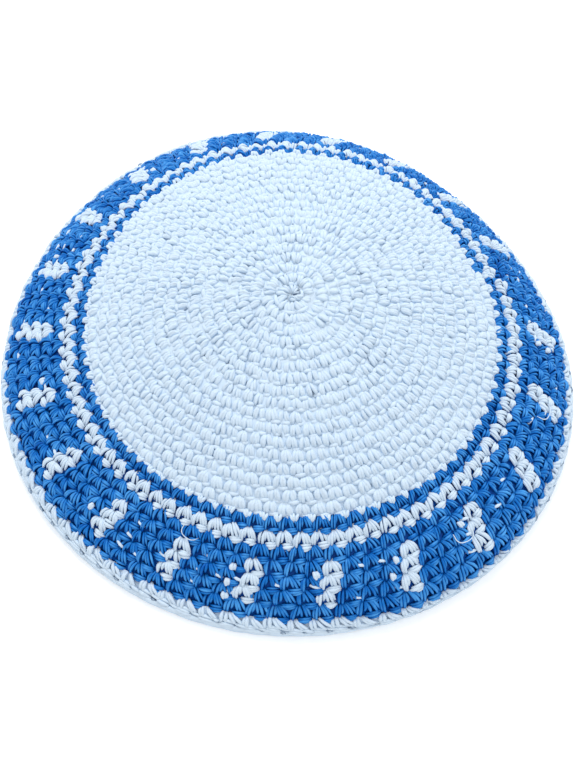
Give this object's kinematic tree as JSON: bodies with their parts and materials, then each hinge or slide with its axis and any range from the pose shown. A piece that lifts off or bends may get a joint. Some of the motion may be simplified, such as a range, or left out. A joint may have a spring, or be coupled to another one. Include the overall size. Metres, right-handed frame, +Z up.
{
  "type": "kippah skullcap",
  "caption": "Round crocheted skullcap: a shallow white dome with ribbed rounds, a blue border with a row of short white bars, and a white edge it rests on.",
  "frame": {"origin": "on the surface the cap rests on, under the middle of its outline", "axes": "+Z up out of the crown, -Y towards the viewer of the picture, +X to the viewer's right"},
  "size_m": [0.1676, 0.1714, 0.0402],
  "materials": {
    "white_cotton": "matt crocheted cotton",
    "blue_cotton": "matt crocheted cotton"
  },
  "bodies": {
    "root": {"crown": "white_cotton", "blue_round": "blue_cotton", "white_round": "white_cotton", "border_band": "blue_cotton", "motif_01": "white_cotton", "motif_02": "white_cotton", "motif_03": "white_cotton", "motif_04": "white_cotton", "motif_05": "white_cotton", "motif_06": "white_cotton", "motif_07": "white_cotton", "motif_08": "white_cotton", "motif_09": "white_cotton", "motif_10": "white_cotton", "motif_11": "white_cotton", "motif_12": "white_cotton", "motif_13": "white_cotton", "motif_14": "white_cotton", "motif_15": "white_cotton", "motif_16": "white_cotton", "motif_17": "white_cotton", "motif_18": "white_cotton", "motif_19": "white_cotton", "motif_20": "white_cotton", "motif_21": "white_cotton", "edge_round": "white_cotton"}
  },
  "joints": []
}
